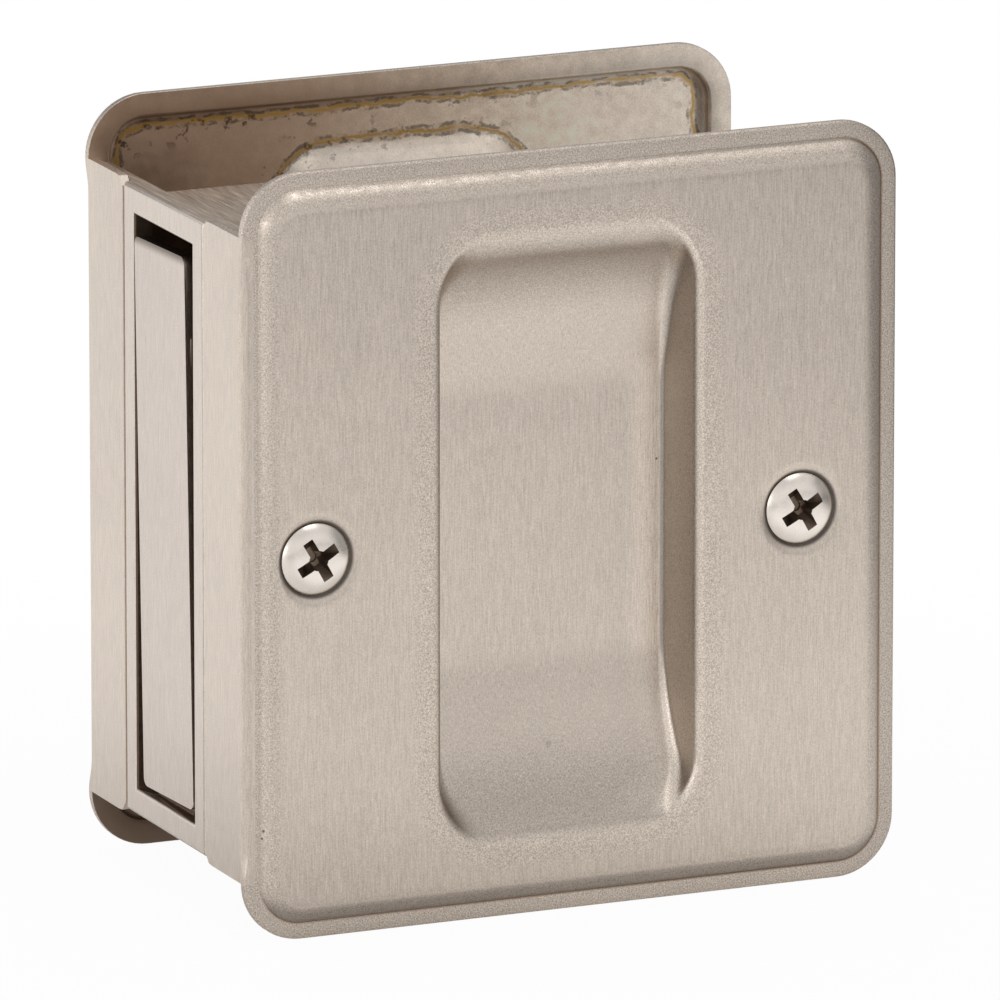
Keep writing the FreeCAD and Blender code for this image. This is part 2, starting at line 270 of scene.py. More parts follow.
def plate_rings():
    """Rings of points from the cup's floor over the front, round the cut edge and back inside."""
    rings = []

    def flat(loop, y, inside=False):
        rings.append(([(x, y, z) for x, z in loop], inside))

    def blend(first, second, share):
        return [(between(a, c, share), between(b, d, share)) for (a, b), (c, d) in zip(first, second)]

    loops = cup_loops()
    arc_x = RIM_WIDTH + math.sqrt(FIELD_ROUND ** 2 - (FIELD_ROUND - FIELD_RISE) ** 2)
    arc_y = FIELD_OUT + FIELD_ROUND
    step_slope = math.acos(1 - FIELD_RISE / STEP_ROUND)
    step_in = RIM_WIDTH + STEP_ROUND * math.sin(step_slope)
    inner = loops[0]
    outer = plate_loop(step_in)

    # Front: cup, field, step, rim and cut edge
    for loop in reversed(loops):
        rings.append(([cup_point(x, z, 0.0) for x, z in loop], False))
    for t in steps(10, 1):
        flat(blend(inner, outer, t), FIELD_OUT)
    for angle in (step_slope * t for t in steps(14, 1)):
        inset = step_in - STEP_ROUND * math.sin(angle)
        flat(plate_loop(inset), FIELD_OUT + STEP_ROUND * (1 - math.cos(angle)))
    on_rim = RIM_WIDTH * 0.6
    for inset in (on_rim, EDGE_ROLL):
        flat(plate_loop(inset), RIM_OUT)
    for angle in (math.pi / 2 * t for t in steps(4, 1)):
        flat(plate_loop(EDGE_ROLL * (1 - math.sin(angle))), RIM_OUT + EDGE_ROLL * (1 - math.cos(angle)))
    flat(plate_loop(0), RIM_IN - EDGE_BURR)
    flat(plate_loop(EDGE_BURR), RIM_IN)

    # Inside: rim, step, field and the cup's bulge
    inner_round = FIELD_ROUND - SHEET
    wall = arc_x - inner_round
    pocket = plate_loop(arc_x)
    flat(plate_loop(wall - POCKET_MOUTH), RIM_IN, True)
    for angle in (math.pi / 2 * t for t in steps(4, 1)):
        inset = wall - POCKET_MOUTH * (1 - math.sin(angle))
        flat(plate_loop(inset), RIM_IN - POCKET_MOUTH * (1 - math.cos(angle)), True)
    for angle in (math.pi / 2 * t for t in steps(6)):
        flat(plate_loop(arc_x - inner_round * math.cos(angle)), arc_y - inner_round * math.sin(angle), True)
    for t in steps(10, 1)[:-1]:
        flat(blend(pocket, inner, t), FIELD_IN, True)
    for loop in loops:
        rings.append(([cup_point(x, z, SHEET) for x, z in loop], True))
    return rings


def plate_shell():
    """Vertices, faces and material numbers of the plate without its flange."""
    rings = plate_rings()
    count = len(rings[0][0])
    vertices = [p for ring, _ in rings for p in ring]
    faces, numbers = [], []
    for k in range(len(rings) - 1):
        for i in range(count):
            j = (i + 1) % count
            faces.append((k * count + i, (k + 1) * count + i, (k + 1) * count + j, k * count + j))
            numbers.append(INSIDE if rings[k + 1][1] else OUTSIDE)
    last = (len(rings) - 1) * count
    faces.append(tuple(range(count)))
    numbers.append(OUTSIDE)
    faces.append(tuple(range(last + count - 1, last - 1, -1)))
    numbers.append(INSIDE)
    return vertices, faces, numbers


def flange_section(bend):
    """The flange's outer and inner lines, point for point, with a bend of this radius."""
    inner_bend = max(bend - SHEET, EDGE_BURR)
    outer = [(EDGE_X + FLANGE_BEND, RIM_OUT)]
    inner = [(EDGE_X + FLANGE_BEND, RIM_IN)]
    for angle in (math.pi / 2 * t for t in steps(10)):
        aside, back = 1 - math.sin(angle), 1 - math.cos(angle)
        outer.append((EDGE_X + bend * aside, RIM_OUT + bend * back))
        inner.append((EDGE_X + SHEET + inner_bend * aside, RIM_IN + inner_bend * back))
    for t in steps(12, 1):
        outer.append((EDGE_X, between(RIM_OUT + bend, FLANGE_TIP - EDGE_BURR, t)))
        inner.append((EDGE_X + SHEET, between(RIM_IN + inner_bend, FLANGE_TIP - EDGE_BURR, t)))
    outer.append((EDGE_X + EDGE_BURR, FLANGE_TIP))
    inner.append((EDGE_X + SHEET - EDGE_BURR, FLANGE_TIP))
    return outer, inner


def flange_shell():
    """The folded flange, with rounded free corners and a bend that runs out into the plate's corners."""
    low, high = CORNER, 2 * HALF_HEIGHT - CORNER
    least_flat = 0.01
    widest = FLANGE_BEND - least_flat
    heights = [low + BEND_FADE * t for t in steps(8)]
    heights += [between(low + BEND_FADE, high - BEND_FADE, t) for t in steps(24, 1)]
    heights += [high - BEND_FADE * (1 - t) for t in steps(8, 1)]
    vertices, faces = [], []
    for height in heights:
        fade = min(height - low, high - height, BEND_FADE) / BEND_FADE
        outer, inner = flange_section(between(EDGE_ROLL, widest, fade * fade * (3 - 2 * fade)))
        for x, y in outer + inner:
            past = max(y - (FLANGE_TIP - FLANGE_CORNER), 0.0)
            cut = FLANGE_CORNER - math.sqrt(max(FLANGE_CORNER ** 2 - past ** 2, 0.0))
            vertices.append((x, y, between(low + cut, high - cut, (height - low) / (high - low))))
    count = len(vertices) // len(heights)
    half = count // 2
    last = (len(heights) - 1) * count
    for near in range(0, last, count):
        far = near + count
        for i in range(half - 1):
            faces.append((near + i, near + i + 1, far + i + 1, far + i))
            faces.append((near + half + i + 1, near + half + i, far + half + i, far + half + i + 1))
        faces.append((near + half, near, far, far + half))
        faces.append((near + half - 1, near + count - 1, far + count - 1, far + half - 1))
    for row in (0, last):
        for i in range(half - 1):
            faces.append((row + i, row + half + i, row + half + i + 1, row + i + 1))
    return vertices, faces, [OUTSIDE] * len(faces)


def lathe_object(name, x, profile, number=0, materials=(), sides=72):
    """A closed piece turned about a screw's axis, from (radius, y) points that start and end on it."""
    vertices, faces = [(x, profile[0][1], MIDDLE), (x, profile[-1][1], MIDDLE)], []
    rings = profile[1:-1]
    for radius, y in rings:
        for i in range(sides):
            angle = 2 * math.pi * i / sides
            vertices.append((x + radius * math.cos(angle), y, MIDDLE + radius * math.sin(angle)))
    last = 2 + (len(rings) - 1) * sides
    for i in range(sides):
        j = (i + 1) % sides
        faces.append((0, 2 + i, 2 + j))
        faces.append((1, last + j, last + i))
        for low in range(2, last, sides):
            faces.append((low + i, low + sides + i, low + sides + j, low + j))
    return new_object(name, vertices, faces, [number] * len(faces), materials)


def box_object(name, low, high):
    """A closed box from its lowest to its highest corner."""
    xs, ys, zs = zip(low, high)
    vertices = [(x, y, z) for x in xs for y in ys for z in zs]
    faces = [(0, 1, 3, 2), (4, 6, 7, 5), (0, 4, 5, 1), (2, 3, 7, 6), (0, 2, 6, 4), (1, 5, 7, 3)]
    return new_object(name, vertices, faces)


def tidy_normals(piece):
    """Makes a mesh's faces look outwards."""
    shape = bmesh.new()
    shape.from_mesh(piece.data)
    bmesh.ops.recalc_face_normals(shape, faces=shape.faces)
    shape.to_mesh(piece.data)
    shape.free()


def boolean(piece, tool, operation):
    """Cuts or joins with a tool, which is then removed."""
    tidy_normals(tool)
    step = piece.modifiers.new("cut", "BOOLEAN")
    step.operation = operation
    step.solver = "EXACT"
    step.object = tool
    graph = bpy.context.evaluated_depsgraph_get()
    made = bpy.data.meshes.new_from_object(piece.evaluated_get(graph))
    old = piece.data
    piece.modifiers.clear()
    piece.data = made
    bpy.data.meshes.remove(old)
    remove(tool)


def smooth(piece, degrees=32.0):
    """Smooth shading, with edges sharper than an angle kept."""
    mesh = piece.data
    mesh.polygons.foreach_set("use_smooth", [True] * len(mesh.polygons))
    mesh.set_sharp_from_angle(angle=math.radians(degrees))


def join(piece, other):
    """Adds another piece's mesh to a piece's, with the same materials, and removes the other."""
    shape = bmesh.new()
    shape.from_mesh(piece.data)
    shape.from_mesh(other.data)
    shape.to_mesh(piece.data)
    shape.free()
    remove(other)


def outline_distance(points, half_width, half_height, corner, centre_x):
    """How far points lie outside a rounded rectangle about the plate's middle, less than zero within it."""
    away = np.abs(points[:, (0, 2)] - (centre_x, MIDDLE)) - (half_width - corner, half_height - corner)
    outside = np.linalg.norm(np.maximum(away, 0.0), axis=1)
    return outside + np.minimum(away.max(axis=1), 0.0) - corner


def mark_distances(piece, screw_holes):
    """Keeps each point's distance in millimetres in from the edge, out from the cup and from a screw."""
    mesh = piece.data
    points = np.zeros(len(mesh.vertices) * 3, np.float32)
    mesh.vertices.foreach_get("co", points)
    points = points.reshape(-1, 3) / MM
    from_edge = -outline_distance(points, HALF_WIDTH, HALF_HEIGHT, CORNER, 0.0)
    from_cup = outline_distance(points, CUP_HALF_WIDTH, CUP_HALF_HEIGHT, CUP_CORNER, CUP_X)
    from_screw = np.min([np.hypot(points[:, 0] - x, points[:, 2] - MIDDLE) for x in SCREW_X], axis=0)
    if not screw_holes:
        from_screw[:] = HALF_WIDTH
    clear_of_corners = np.abs(points[:, 2] - MIDDLE) < HALF_HEIGHT - CORNER
    from_edge[(points[:, 0] < EDGE_X + FLANGE_BEND) & clear_of_corners] = HALF_WIDTH
    for name, values in (("from_edge", from_edge), ("from_cup", from_cup), ("from_screw", from_screw)):
        mesh.attributes.new(name, "FLOAT", "POINT").data.foreach_set("value", values.astype(np.float32))


# Materials: noise scales per metre, marks in millimetres and the colours of stains
UPRIGHT = (14000.0, 14000.0, 700.0)
CROSSWISE = (5500.0, 260.0, 5500.0)
EVEN = (900.0, 900.0, 900.0)
SPECK = 8000.0
CLOUD = 55.0
CREST_BREAKS = (900.0, 900.0, 2500.0)
FOLD_WANDER, FOLD_PATCHES, FOLD_CRACKS, BLOTCHES = 520.0, 160.0, 900.0, 760.0
PITS = ((-30.0, -18.56, 10.4), (-30.1, -18.45, 9.7), (-31.5, -18.2, 15.2), (10.2, -14.0, 39.5))
SMUDGE = (-1.06, -15.3, 14.6)
DIRT = (0.06, 0.042, 0.03)
BRASS = (0.52, 0.32, 0.07)
BROWN = (0.60, 0.40, 0.275)
RUST = (0.36, 0.21, 0.12)
DARK_BROWN = (0.12, 0.085, 0.06)


class Graph:
    """Short calls to add and link shader nodes."""

    def __init__(self, tree):
        self.tree = tree

    def node(self, kind, inputs=None, **settings):
        made = self.tree.nodes.new(kind)
        for key, value in settings.items():
            setattr(made, key, value)
        for key, value in (inputs or {}).items():
            self.put(made.inputs[key], value)
        return made

    def put(self, socket, value):
        if isinstance(value, bpy.types.NodeSocket):
            self.tree.links.new(value, socket)
        else:
            socket.default_value = value

    def axes(self, vector):
        return self.node("ShaderNodeSeparateXYZ", {0: vector}).outputs

    def millimetres(self, place):
        """A place's three coordinates in millimetres."""
        axes = self.axes(place)
        return [self.times(axes[key], 1 / MM) for key in "XYZ"]

    def along(self, axes, way):
        """How far a place lies along a direction in plan."""
        return self.plus(self.times(axes["X"], way[0]), self.times(axes["Y"], way[1]))

    def noise(self, scale, place, detail=3.0, rough=0.5):
        """Noise in the object's own metres, with a scale for each axis or one for all."""
        scales = scale if isinstance(scale, tuple) else (scale, scale, scale)
        mapped = self.node("ShaderNodeMapping", {"Vector": place, "Scale": scales})
        inputs = {"Vector": mapped.outputs[0], "Scale": 1.0, "Detail": detail, "Roughness": rough}
        return self.node("ShaderNodeTexNoise", inputs).outputs["Fac"]

    def math(self, operation, a, b=0.0):
        return self.node("ShaderNodeMath", {0: a, 1: b}, operation=operation).outputs[0]

    def plus(self, first, *others):
        for other in others:
            first = self.math("ADD", first, other)
        return first

    def times(self, first, *others):
        for other in others:
            first = self.math("MULTIPLY", first, other)
        return first

    def most(self, first, *others):
        for other in others:
            first = self.math("MAXIMUM", first, other)
        return first

    def ease(self, value, low, high, start=0.0, stop=1.0):
        """A smooth step between two values."""
        inputs = {"Value": value, "From Min": low, "From Max": high, "To Min": start, "To Max": stop}
        return self.node("ShaderNodeMapRange", inputs, interpolation_type="SMOOTHSTEP").outputs[0]

    def band(self, value, low, high, fade):
        """1 between two values, with a soft edge on either side."""
        return self.times(self.ease(value, low - fade, low), self.ease(value, high, high + fade, 1.0, 0.0))

    def darker(self, tone, mask, share):
        """A tone made darker by a share where a mask says so, or lighter with a share below zero."""
        return self.times(tone, self.plus(1.0, self.times(mask, -share)))

    def without(self, mask):
        return self.math("SUBTRACT", 1.0, mask)

    def attribute(self, name):
        return self.node("ShaderNodeAttribute", attribute_name=name).outputs["Fac"]

    def near(self, place, centre, low, high):
        """1 about a place in millimetres, down to 0 between two distances from it."""
        inputs = {0: place, 1: [c * MM for c in centre]}
        away = self.node("ShaderNodeVectorMath", inputs, operation="DISTANCE").outputs["Value"]
        return self.ease(away, low * MM, high * MM, 1.0, 0.0)

    def grey(self, value):
        return self.node("ShaderNodeCombineColor", {"Red": value, "Green": value, "Blue": value}).outputs[0]

    def mix(self, factor, a, b, blend="MIX"):
        made = self.node("ShaderNodeMix", data_type="RGBA", blend_type=blend)
        for number, value in ((0, factor), (6, a), (7, b)):
            self.put(made.inputs[number], value)
        return made.outputs[2]


def material(name):
    """A material with its node tree and main shader."""
    made = bpy.data.materials.new(name)
    made.use_nodes = True
    return made, made.node_tree, made.node_tree.nodes["Principled BSDF"]


def satin(name, colour, roughness, stroke, hairline=0.15, grain=0.20, mottle=0.03, detail=None):
    """Satin plating: hairlines along one axis, a fine grain where it is blasted instead, and slow mottling.

    detail gives more of the finish from the graph and the place: where the metal is blasted and polished,
    how light it is, painted highlights and shade included, and its stains as pairs of a mask and a colour.
    """
    made, tree, shader = material(name)
    g = Graph(tree)
    place = g.node("ShaderNodeTexCoord").outputs["Object"]
    more = detail(g, place) if detail else {}
    blasted = more.get("blasted", 0.0)

    broad_scale, broad_share = 0.25, 0.08
    fine = g.noise(stroke, place, 1.0, 0.5)
    broad = g.noise(tuple(s * broad_scale for s in stroke), place, 2.0, 0.5)
    lines = g.plus(g.times(fine, 1 - broad_share), g.times(broad, broad_share), -0.5)
    specks = g.plus(g.noise(SPECK, place, 1.0, 0.6), -0.5)
    clouds = g.plus(g.noise(CLOUD, place), -0.5)
    lines = g.times(lines, g.without(blasted))
    specks = g.times(specks, g.plus(0.7, g.times(blasted, 1.5)))
    tone = g.plus(1.0, g.times(lines, 4 * hairline), g.times(specks, 4 * grain))
    tone = g.times(g.plus(tone, g.times(clouds, 5 * mottle)), more.get("tone", 1.0))
    shade = g.mix(1.0, (*colour, 1.0), g.grey(tone), "MULTIPLY")
    for mask, stain in more.get("stains", ()):
        shade = g.mix(mask, shade, (*stain, 1.0))
    g.put(shader.inputs["Base Color"], shade)
    shader.inputs["Metallic"].default_value = 1.0
    spread = g.plus(roughness, g.times(lines, 0.18), g.times(blasted, 0.07))
    g.put(shader.inputs["Roughness"], g.darker(spread, more.get("polished", 0.0), 0.5))
    height = g.plus(lines, g.times(specks, 0.8))
    bump = g.node("ShaderNodeBump", {"Height": height, "Strength": 0.3, "Distance": 0.04 * MM})
    g.put(shader.inputs["Normal"], bump.outputs[0])
    return made


def plate_detail(g, place):
    """A plate's outside: a blasted rim, step and lip, a polished crest, and painted highlights and painted
    shade on the steps, the fold line, the cup and round the screws.

    Places and distances are in millimetres.
    """
    names = ("from_edge", "from_cup", "from_screw")
    from_edge, from_cup, from_screw = (g.attribute(name) for name in names)
    across, _, height = g.millimetres(place)
    facing = g.axes(g.node("ShaderNodeTexCoord").outputs["Normal"])
    up, right = facing["Z"], facing["X"]
    down = g.times(up, -1.0)
    steep = g.math("ABSOLUTE", right)
    from_middle = g.math("ABSOLUTE", g.plus(height, -MIDDLE))
    to_right = g.ease(across, 3.0, 8.0)
    to_left = g.ease(across, 4.0, 24.0, 1.0, 0.35)

    # The rim, the step and the fold between them, with painted shade on the fold line and on the right and
    # lower steps and a painted highlight on the top crest
    rim = g.ease(from_edge, 1.35, 1.75, 1.0, 0.0)
    rim_right = g.times(rim, g.ease(across, 24.0, 31.0))
    step = g.band(from_edge, 1.6, 2.9, 0.3)
    # Painted shade on the step where it faces right and where it faces down
    step_right_shade = g.times(step, g.ease(right, 0.1, 0.6))
    step_below_shade = g.times(step, g.ease(down, 0.1, 0.5))
    near_edge = g.ease(from_edge, 2.4, 3.8, 0.7, 0.0)
    # Painted shade: a dark line along the step's foot, darkest on the right
    foot_line_shade = g.band(from_edge, 1.47, 1.65, 0.12)
    foot_line_shade = g.times(foot_line_shade, g.ease(across, -27.0, 31.0, 0.06, 0.32))
    far_sides = g.most(g.ease(across, 22.0, 30.0), g.ease(height, 1.5, 5.0, 1.0, 0.0))
    foot_rust = g.times(g.band(from_edge, 1.42, 1.55, 0.08), far_sides, 0.4)
    # Painted highlight, broken by noise, on the upward-facing crest and fading to the right; the crest is
    # also less rough
    breaks = g.ease(g.noise(CREST_BREAKS, place, 3.0, 0.6), 0.40, 0.62)
    crest_polish_and_highlight = g.times(g.band(from_edge, 1.55, 1.9, 0.35), g.ease(up, 0.12, 0.35), breaks, to_left)

    # The cup's lip, walls, ends and floor, with painted shade on the walls, the top and the lower end, and
    # painted highlights on the right lip, low on the right side and on the floor by the right wall
    lip = g.ease(g.math("ABSOLUTE", from_cup), 0.6, 2.6, 0.75, 0.0)
    # Painted highlight on the cup's right lip
    lip_right_highlight = g.times(g.band(from_cup, -0.75, 0.05, 0.3), g.ease(steep, 0.05, 0.3), to_right)
    in_cup = g.ease(from_cup, -1.0, -0.3, 1.0, 0.0)
    cup_end = g.times(g.ease(from_middle, 17.0, 24.0), in_cup)
    # Painted shade on the cup's downward-facing top end
    cup_top_shade = g.times(in_cup, g.ease(down, 0.14, 0.48))
    level = g.ease(from_middle, 11.5, 15.0, 1.0, 0.0)
    # Painted shade on the cup's steep walls and along their foot
    wall_foot = g.times(level, g.ease(from_cup, -1.6, -1.0, 1.0, 0.0), 0.35)
    wall = g.times(in_cup, g.ease(g.plus(steep, wall_foot), 0.45, 0.85))
    # Painted light: a lighter band on the cup's floor beside the right wall
    painted_light_by_wall = g.times(g.ease(from_cup, -6.0, -2.5), g.ease(from_cup, -2.3, -2.1, 1.0, 0.0), to_right)
    painted_light_by_wall = g.times(painted_light_by_wall, g.plus(0.3, g.times(level, 0.7)))
    low_end = g.ease(height, 16.5, 20.5, 1.0, 0.0)
    # Painted highlight: a lighter, less rough strip low on the cup's right side
    polished_highlight_streak = g.times(g.band(steep, 0.30, 0.72, 0.15), low_end, to_right, in_cup)
    # Painted shade on the cup's upward-facing lower end
    cup_below_shade = g.times(in_cup, g.ease(up, 0.25, 0.6), g.without(polished_highlight_streak))
    # Painted shade in the gap round each screw head
    screw_ring_shade = g.ease(from_screw, 3.42, 3.75, 1.0, 0.0)

    # How much darker each part is than the field, or lighter with a share below zero; the shares for the
    # steps, fold line, crest, cup and screw ring are painted shade and painted highlights
    tone = 1.0
    for mask, share in ((rim, 0.06), (rim_right, 0.14), (lip_right_highlight, -0.12), (foot_line_shade, 1.0),
                        (step_right_shade, 0.10), (step_below_shade, 0.40), (cup_top_shade, 0.10), (crest_polish_and_highlight, -0.18),
                        (wall, 0.40), (painted_light_by_wall, -0.38), (polished_highlight_streak, -0.25), (cup_below_shade, 0.24),
                        (screw_ring_shade, 0.82)):
        tone = g.darker(tone, mask, share)
    smudge = g.times(g.near(place, SMUDGE, 0.1, 0.6), 0.35)
    pits = g.most(*[g.near(place, pit, 0.07, 0.16) for pit in PITS], smudge)
    return {
        "blasted": g.most(rim, near_edge, lip, g.times(cup_end, 0.6)),
        "polished": g.most(crest_polish_and_highlight, g.times(polished_highlight_streak, 0.5)),
        "tone": tone,
        "stains": [(g.times(pits, 0.8), DIRT), (foot_rust, RUST)],
    }


def inside_detail(g, place):
    """A plate's inside: brass that shows at the folds, brown stains beside them, darker towards the left
    and a darker brown towards the bottom.
    """
    from_edge, from_cup = g.attribute("from_edge"), g.attribute("from_cup")
    across, _, height = g.millimetres(place)
    to_left = g.ease(across, -20.0, 12.0, 1.0, 0.0)
    low_corner = g.ease(height, 6.0, 11.0, 1.0, 0.0)
    in_field = g.ease(from_edge, 3.0, 3.3)
    on_bulge = g.ease(from_cup, -1.2, -0.4, 1.0, 0.0)
    rim = g.times(g.ease(from_edge, 0.4, 2.6, 0.08, 0.45), g.without(in_field))

    # The folds run along the step and round the cup, and wander a little
    wander = g.times(g.plus(g.noise(FOLD_WANDER, place, 4.0, 0.65), -0.5), 1.3)
    at_step = g.math("ABSOLUTE", g.plus(from_edge, -3.25, wander))
    at_cup = g.math("ABSOLUTE", g.plus(from_cup, -0.2, wander))
    fold = g.math("MINIMUM", at_step, at_cup)
    patches = g.ease(g.noise(FOLD_PATCHES, place, 3.0, 0.6), 0.30, 0.46)
    brass = g.times(g.ease(fold, 0.04, 0.30, 1.0, 0.0), patches)
    cracks = g.ease(g.noise(FOLD_CRACKS, place, 3.0, 0.6), 0.38, 0.58)
    crack = g.times(g.band(fold, 0.26, 0.42, 0.16), cracks)
    blotch = g.plus(g.noise(BLOTCHES, place, 3.0, 0.6), g.times(to_left, 0.03))
    stain = g.times(g.ease(blotch, 0.61, 0.67), g.ease(fold, 0.4, 3.2, 1.0, 0.0), in_field)
    stain = g.times(stain, g.plus(0.3, g.times(to_left, 0.7)))
    brown = g.times(to_left, g.ease(from_cup, -0.2, 0.8), 0.6)

    tone = 1.0
    for mask, share in ((to_left, 0.42), (rim, 1.0), (on_bulge, 0.15)):
        tone = g.darker(tone, mask, share)
    return {
        "tone": tone,
        "stains": [(brown, BROWN), (g.times(crack, 0.65), DIRT), (g.times(brass, 0.85), BRASS),
                   (g.times(stain, 0.75), DIRT), (g.times(low_corner, 0.6), DARK_BROWN)],
    }


def case_detail(g, place):
    """The case: a painted highlight along the strip's rounded front edge."""
    across, depth, _ = g.millimetres(place)
    # Painted highlight on the strip's front edge
    strip_edge_highlight = g.times(g.band(depth, -9.36, -9.08, 0.08), g.ease(across, -31.4, -31.2, 1.0, 0.0))
    return {"tone": g.darker(1.0, strip_edge_highlight, -0.25)}


def pull_detail(g, place):
    """The edge pull: a darker brown band along its top edge; the pull leans a little in its opening."""
    _, depth, height = g.millimetres(place)
    along = g.plus(g.times(height, math.cos(PULL_LEAN)), g.times(depth, math.sin(PULL_LEAN)))
    dull_height = 1.0
    top = g.ease(along, PULL_TOP - dull_height, PULL_TOP)
    return {"stains": [(g.times(top, 0.85), DARK_BROWN)]}


plate_metal = satin("plate_satin", (0.70, 0.61, 0.527), 0.32, UPRIGHT, detail=plate_detail)
inside_metal = satin("plate_inside", (0.97, 0.85, 0.73), 0.42, EVEN, hairline=0.12, mottle=0.10,
                     detail=inside_detail)
case_metal = satin("case_satin", (0.71, 0.63, 0.56), 0.34, UPRIGHT, hairline=0.13, detail=case_detail)
case_top_metal = satin("case_top_satin", (0.56, 0.475, 0.40), 0.45, CROSSWISE, hairline=0.34)
# The case's inside is painted dark: painted shade in the box
case_inside_shade_metal = satin("case_inside_shade", (0.20, 0.14, 0.10), 0.5, EVEN, mottle=0.10)
pull_metal = satin("pull_satin", (0.675, 0.59, 0.53), 0.32, UPRIGHT, hairline=0.14, detail=pull_detail)
pin_metal = satin("pin_steel", (0.50, 0.49, 0.47), 0.3, CROSSWISE)
post_metal = satin("post_brass", (0.60, 0.48, 0.27), 0.3, CROSSWISE)
screw_metal = satin("screw_nickel", (0.97, 0.89, 0.81), 0.26, EVEN, hairline=0.04, grain=0.03)
# The screw recess is painted dark: painted shade in the recess
recess_shade_metal = satin("screw_recess_shade", (0.26, 0.20, 0.155), 0.45, EVEN, hairline=0.2)


# The two plates stand in for their solids, with finer rounds

def dimple_profile(end):
    """The dimple's hollow, as (radius, y) points: a rolled mouth and a cone that ends past the hole."""
    over, beside, above = 0.5, 0.05, 0.01
    lean = math.pi / 2 - math.atan(SCREW_SLOPE)
    start = DIMPLE_MOUTH + DIMPLE_ROLL * math.tan(lean / 2)
    widest = start + beside
    profile = [(0.0, FIELD_OUT - over), (widest, FIELD_OUT - over), (widest, FIELD_OUT - above)]
    for angle in (lean * t for t in steps(9, 1)):
        radius = start - DIMPLE_ROLL * math.sin(angle)
        profile.append((radius, FIELD_OUT + DIMPLE_ROLL * (1 - math.cos(angle))))
    return profile + [(DIMPLE_HOLE - over * SCREW_SLOPE, end + over), (0.0, end + over)]


def make_plate(name, screw_holes, turned):
    """One stamped plate, with its flange and, if wanted, its dimpled screw holes."""
    materials = (plate_metal, inside_metal)
    piece = new_object(name, *plate_shell(), materials)
    tidy_normals(piece)
    room = 1.0
    bend_low = (EDGE_X - room, RIM_OUT - room, CORNER)
    bend_high = (EDGE_X + FLANGE_BEND, RIM_IN + room, 2 * HALF_HEIGHT - CORNER)
    boolean(piece, box_object("bend", bend_low, bend_high), "DIFFERENCE")
    if screw_holes:
        start = FIELD_OUT + SHEET / 2
        end = FIELD_OUT + (DIMPLE_MOUTH - DIMPLE_HOLE) / SCREW_SLOPE
        mouth = DIMPLE_MOUTH + SHEET * math.sqrt(1 + SCREW_SLOPE ** 2)
        boss = [(mouth - (y - FIELD_OUT) * SCREW_SLOPE, y) for y in (start, end)]
        for x in SCREW_X:
            boolean(piece, lathe_object("boss", x, [(0.0, start), *boss, (0.0, end)]), "UNION")
        for x in SCREW_X:
            boolean(piece, lathe_object("hollow", x, dimple_profile(end)), "DIFFERENCE")
    flange = new_object("flange", *flange_shell(), materials)
    tidy_normals(flange)
    join(piece, flange)
    mark_distances(piece, screw_holes)
    if turned:
        piece.data.transform(Matrix.Translation((0, 0, 2 * MIDDLE * MM)) @ Matrix.Rotation(math.pi, 4, "X"))
    smooth(piece)
    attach(piece, "pull_set")
    return piece


front = make_plate("front_plate_stamping", True, False)
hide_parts("front_plate")
back = make_plate("back_plate_stamping", False, True)
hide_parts("back_plate")


# The screws stand in for theirs, with domed heads and tapered cross recesses

def wing_object(x, turn, top, foot):
    """One wing pair of the cross recess; top and foot are (y, half length, half width)."""
    vertices = []
    for y, length, width in (top, foot):
        for a, b in ((-length, -width), (length, -width), (length, width), (-length, width)):
            across = a * math.cos(turn) - b * math.sin(turn)
            vertices.append((x + across, y, MIDDLE + a * math.sin(turn) + b * math.cos(turn)))
    faces = [(0, 1, 2, 3), (7, 6, 5, 4)] + [(i, (i + 1) % 4, 4 + (i + 1) % 4, 4 + i) for i in range(4)]
    return new_object("wing", vertices, faces, [RECESS] * len(faces), (screw_metal, recess_shade_metal))


def make_screw(x):
    """One face screw, with its recess painted dark as shade."""
    materials = (screw_metal, recess_shade_metal)
    top = HEAD_Y - HEAD_CROWN
    over = 0.3
    shares = [math.sin(math.pi / 2 * t) for t in steps(14)]
    profile = [(HEAD_RADIUS * share, top + HEAD_CROWN * share ** 4) for share in shares]
    profile.append((HEAD_RADIUS, HEAD_Y + HEAD_EDGE))
    profile.append((SHANK_RADIUS, HEAD_Y + (HEAD_RADIUS - SHANK_RADIUS) / SCREW_SLOPE))
    profile.append((SHANK_RADIUS, SHANK_TIP_Y - TIP_BEVEL))
    profile += [(SHANK_RADIUS - TIP_BEVEL, SHANK_TIP_Y), (0.0, SHANK_TIP_Y)]
    piece = lathe_object("screw", x, profile, PLATED, materials)
    tidy_normals(piece)
    for quarter in (0.0, math.pi / 2):
        turn = quarter - RECESS_TURN
        wing = wing_object(x, turn, (top - over, *WING_TOP), (top + WING_DEPTH, *WING_FOOT))
        boolean(piece, wing, "DIFFERENCE")
    foot = top + SOCKET_DEPTH
    socket = [(0.0, top - over), (SOCKET_TOP, top - over), (SOCKET_FOOT, foot), (0.0, foot)]
    boolean(piece, lathe_object("socket", x, socket, RECESS, materials, 24), "DIFFERENCE")
    return piece


screws = make_screw(SCREW_X[0])
join(screws, make_screw(SCREW_X[1]))
screws.name = "oval_head_screws"
smooth(screws, 25.0)
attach(screws, "pull_set")
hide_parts("face_screws")


# The other solids keep their shapes and get finishes

